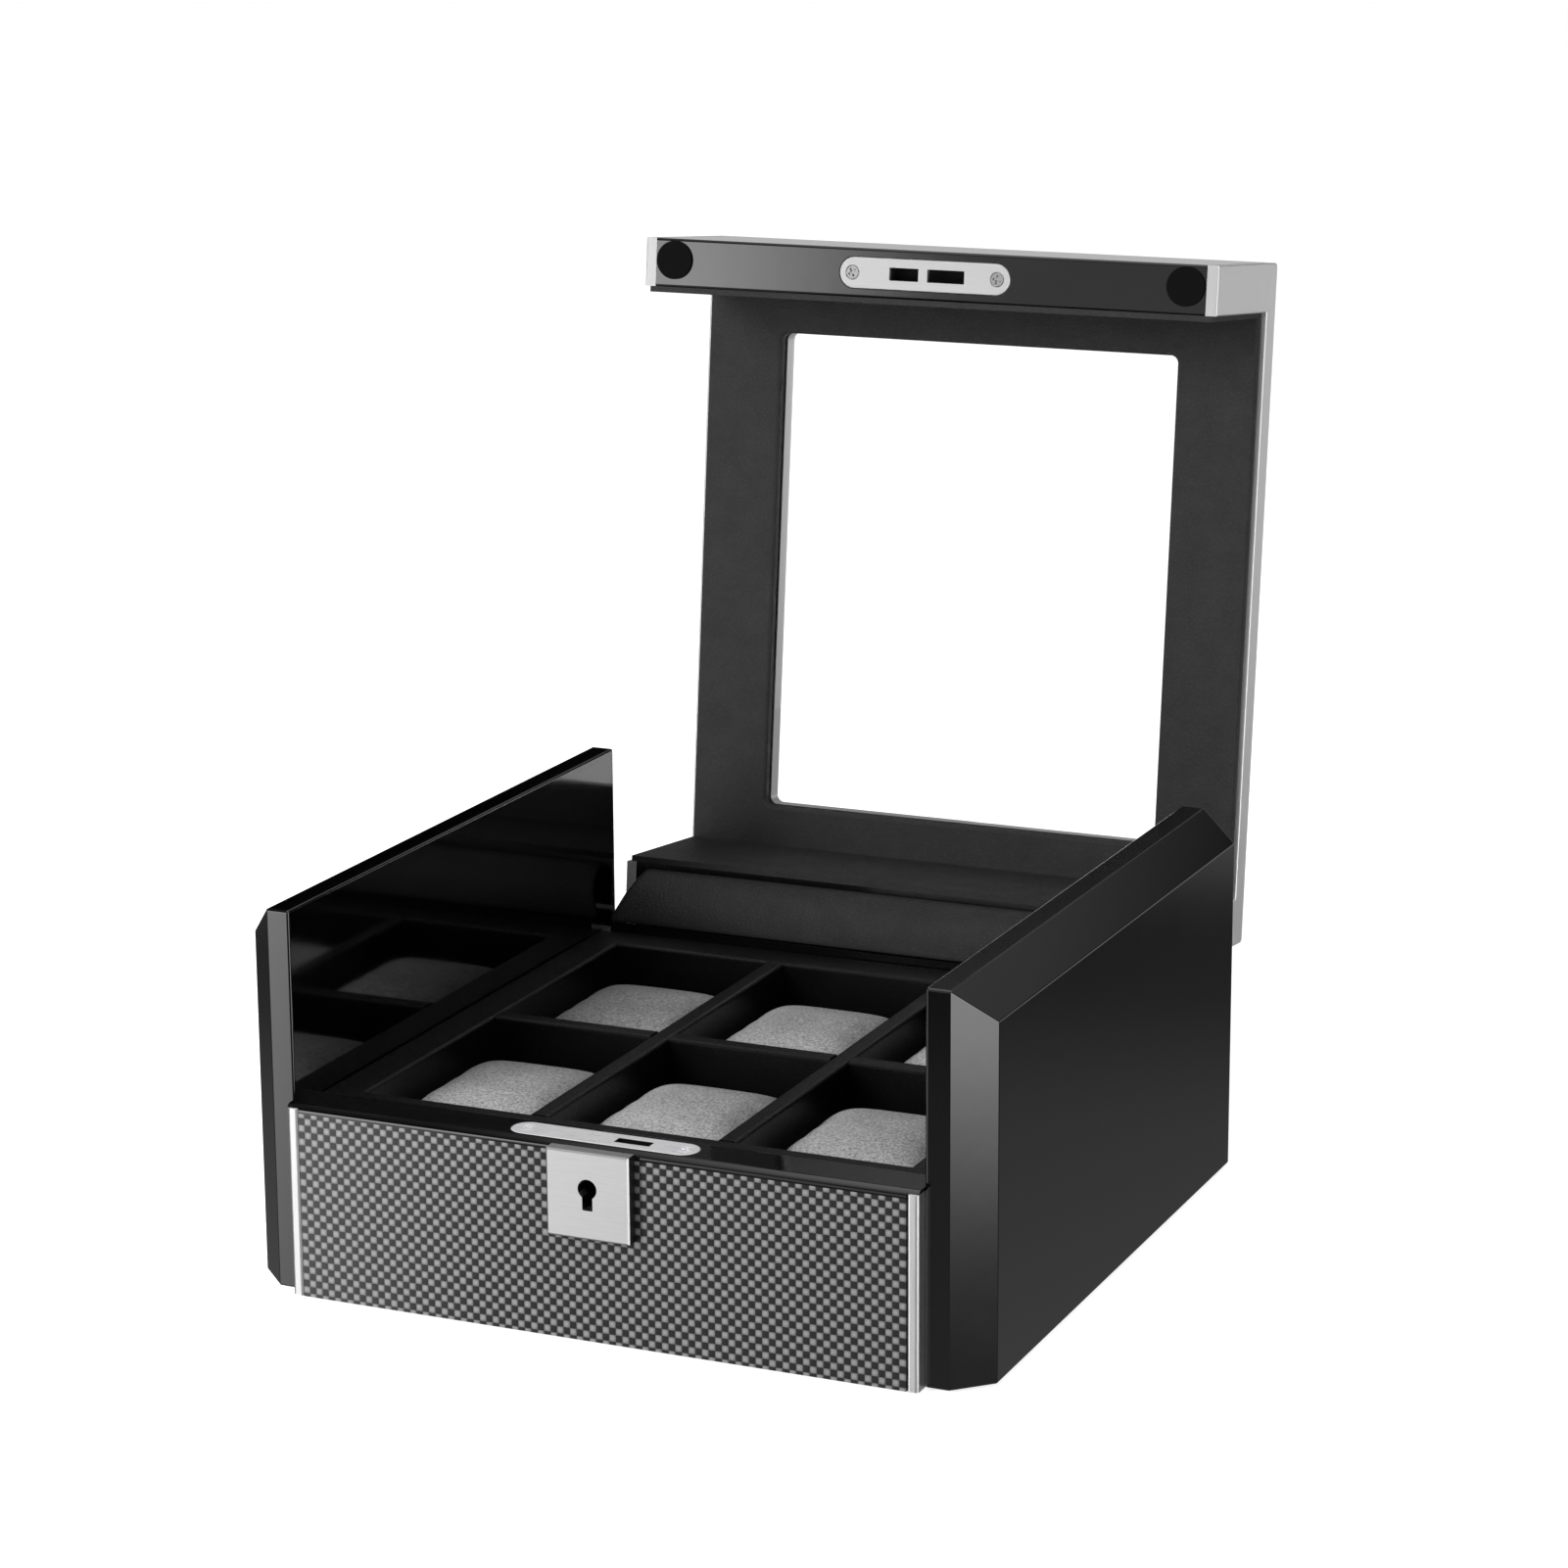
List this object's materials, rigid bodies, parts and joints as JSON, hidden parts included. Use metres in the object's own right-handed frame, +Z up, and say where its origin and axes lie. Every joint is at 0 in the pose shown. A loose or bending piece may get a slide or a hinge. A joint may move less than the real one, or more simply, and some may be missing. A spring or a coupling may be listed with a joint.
{
  "type": "watch storage box",
  "caption": "Lockable black watch box with bevelled side panels, a hinged C-shaped window lid and cushioned compartments.",
  "frame": {"origin": "middle of the felt underside that the box stands on", "axes": "+X to the box's right, +Y to its hinged back, +Z up"},
  "size_m": [0.225, 0.3012, 0.2724],
  "materials": {
    "black_lacquer": "high-gloss black piano lacquer on fibreboard",
    "fibreboard": "plain fibreboard",
    "carbon_weave": "carbon-weave laminate",
    "satin_metal": "bright satin",
    "polished_metal": "polished",
    "hinge_steel": "satin",
    "lock_steel": "plain",
    "clear_glass": "clear",
    "black_leather": "fine-grain black",
    "grey_suede": "grey suede",
    "black_felt": "felt",
    "black_rubber": "matte"
  },
  "bodies": {
    "case": {"side_panel_left": "black_lacquer", "side_panel_right": "black_lacquer", "front_panel": "black_lacquer", "front_carbon_skin": "carbon_weave", "back_panel": "black_lacquer", "front_strip_left": "satin_metal", "front_strip_right": "satin_metal", "back_strip_left": "satin_metal", "back_strip_right": "satin_metal", "base_panel": "fibreboard", "base_felt": "black_felt", "tray_floor": "black_felt", "tray_frame": "black_leather", "divider_left": "black_leather", "divider_right": "black_leather", "divider_cross": "black_leather", "hinge_case_leaf_left": "hinge_steel", "hinge_case_leaf_right": "hinge_steel", "hinge_pin_left": "hinge_steel", "hinge_pin_right": "hinge_steel", "hinge_case_screws": "hinge_steel", "hinge_cover": "black_leather", "escutcheon": "satin_metal", "lock_case": "lock_steel", "lock_face_plate": "polished_metal", "lock_face_screws": "polished_metal"},
    "lid": {"lid_cheek_left": "satin_metal", "lid_cheek_right": "satin_metal", "lid_top_board": "black_lacquer", "lid_carbon_top": "carbon_weave", "lid_front_lip": "black_lacquer", "lid_carbon_front": "carbon_weave", "lid_rear_lip": "black_lacquer", "lid_lining_top": "black_leather", "lid_lining_front": "black_leather", "lid_lining_rear": "black_leather", "window_bezel": "satin_metal", "window_glass": "clear_glass", "strike_plate": "satin_metal", "strike_screws": "polished_metal", "bumper_pad_left": "black_rubber", "bumper_pad_right": "black_rubber", "hinge_lid_leaf_left": "hinge_steel", "hinge_lid_leaf_right": "hinge_steel", "hinge_lid_screws": "hinge_steel"},
    "lock_rotor": {"key_rotor": "lock_steel", "hook_claw": "lock_steel"},
    "cushion_front_left": {"cushion_front_left": "grey_suede"},
    "cushion_front_middle": {"cushion_front_middle": "grey_suede"},
    "cushion_front_right": {"cushion_front_right": "grey_suede"},
    "cushion_rear_left": {"cushion_rear_left": "grey_suede"},
    "cushion_rear_middle": {"cushion_rear_middle": "grey_suede"},
    "cushion_rear_right": {"cushion_rear_right": "grey_suede"}
  },
  "joints": [
    {"name": "lid_hinge", "type": "hinge", "parent": "case", "child": "lid", "pos_m": [0, 0.108, 0.0582], "axis": [-1, 0, 0], "range_deg": [-96.2, 0], "deforming": ["hinge_cover"]},
    {"name": "key_turn", "type": "hinge", "parent": "case", "child": "lock_rotor", "pos_m": [0, -0.0999, 0.0466], "axis": [0, -1, 0], "range_deg": [0, 80]},
    {"name": "cushion_front_left_lift", "type": "slide", "parent": "case", "child": "cushion_front_left", "axis": [0, 0, 1], "range_m": [0, 0.047]},
    {"name": "cushion_front_middle_lift", "type": "slide", "parent": "case", "child": "cushion_front_middle", "axis": [0, 0, 1], "range_m": [0, 0.047]},
    {"name": "cushion_front_right_lift", "type": "slide", "parent": "case", "child": "cushion_front_right", "axis": [0, 0, 1], "range_m": [0, 0.047]},
    {"name": "cushion_rear_left_lift", "type": "slide", "parent": "case", "child": "cushion_rear_left", "axis": [0, 0, 1], "range_m": [0, 0.047]},
    {"name": "cushion_rear_middle_lift", "type": "slide", "parent": "case", "child": "cushion_rear_middle", "axis": [0, 0, 1], "range_m": [0, 0.047]},
    {"name": "cushion_rear_right_lift", "type": "slide", "parent": "case", "child": "cushion_rear_right", "axis": [0, 0, 1], "range_m": [0, 0.047]}
  ]
}
